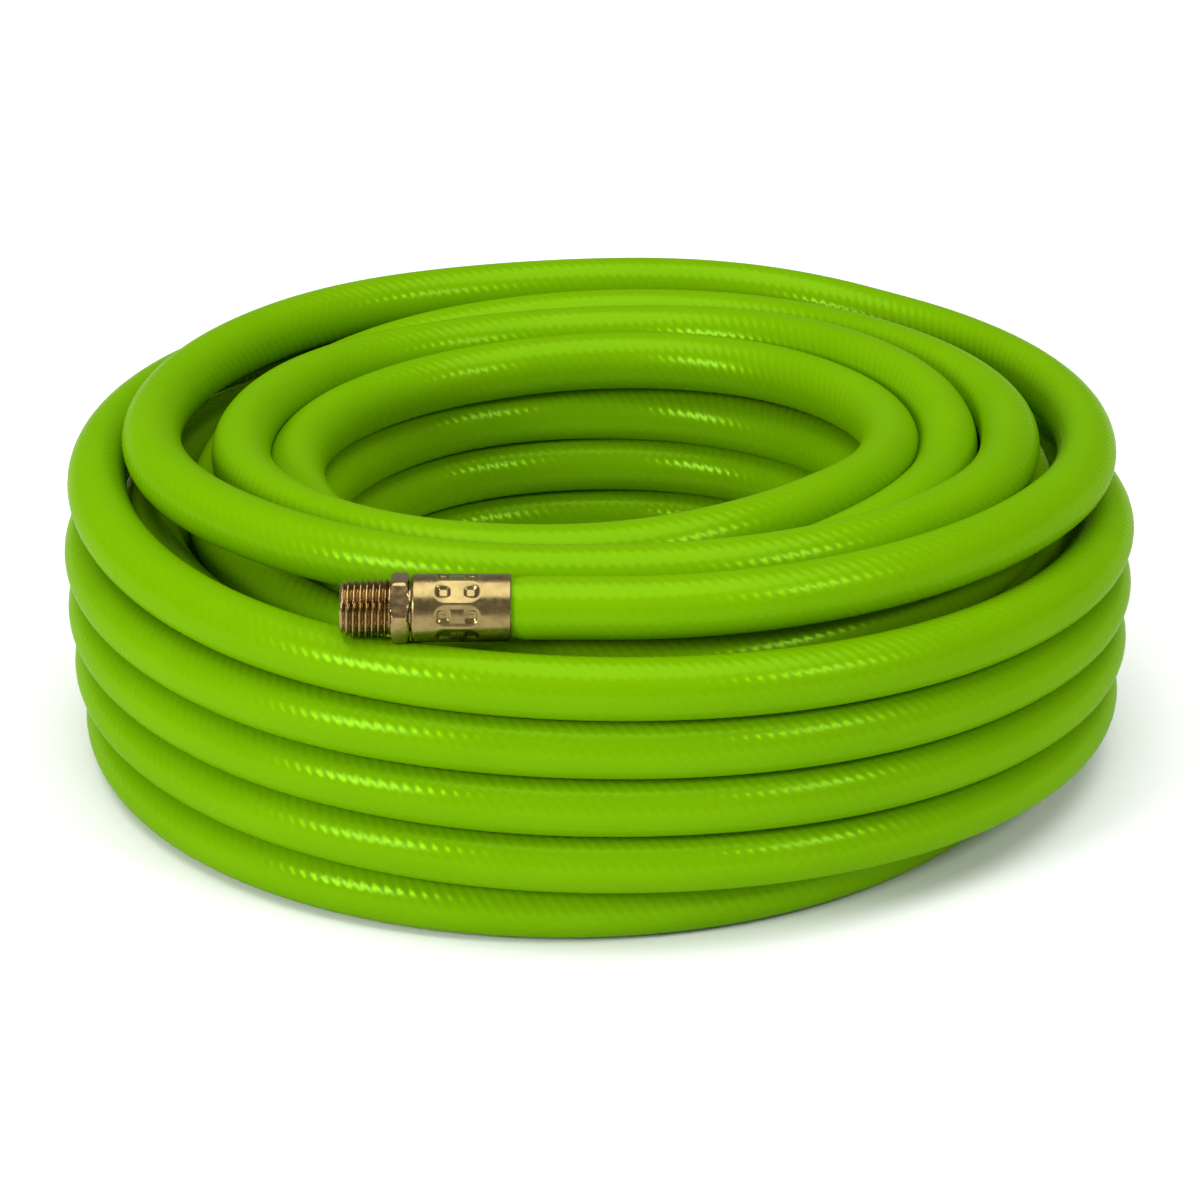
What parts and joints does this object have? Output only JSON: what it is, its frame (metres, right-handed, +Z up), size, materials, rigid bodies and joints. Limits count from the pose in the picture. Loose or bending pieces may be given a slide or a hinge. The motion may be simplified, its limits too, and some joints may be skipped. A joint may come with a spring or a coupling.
{
  "type": "coiled air hose",
  "caption": "Braided flexible air hose wound in a round coil, with a crimped male pipe-thread fitting on each end.",
  "frame": {"origin": "on the ground under the middle of the coil's box", "axes": "+Z up along the coil's axis; -Y is the front, where the first end lies on top of the coil and points along -X"},
  "size_m": [0.2608, 0.2574, 0.0874],
  "materials": {
    "hose_cover": "semi-gloss lime green PVC with the braid showing through as a fine relief",
    "braid_yarn": "bonded polyester yarn",
    "liner": "smooth black",
    "nipple_metal": "turned, bright",
    "ferrule_metal": "yellow plated, pressed and crimped"
  },
  "bodies": {
    "root": {"hose_coil": "hose_cover", "hose_cover_a": "hose_cover", "hose_braid_a": "braid_yarn", "hose_liner_a": "liner", "nipple_a": "nipple_metal", "ferrule_a": "ferrule_metal", "hose_cover_b": "hose_cover", "hose_braid_b": "braid_yarn", "hose_liner_b": "liner", "nipple_b": "nipple_metal", "ferrule_b": "ferrule_metal"}
  },
  "joints": []
}
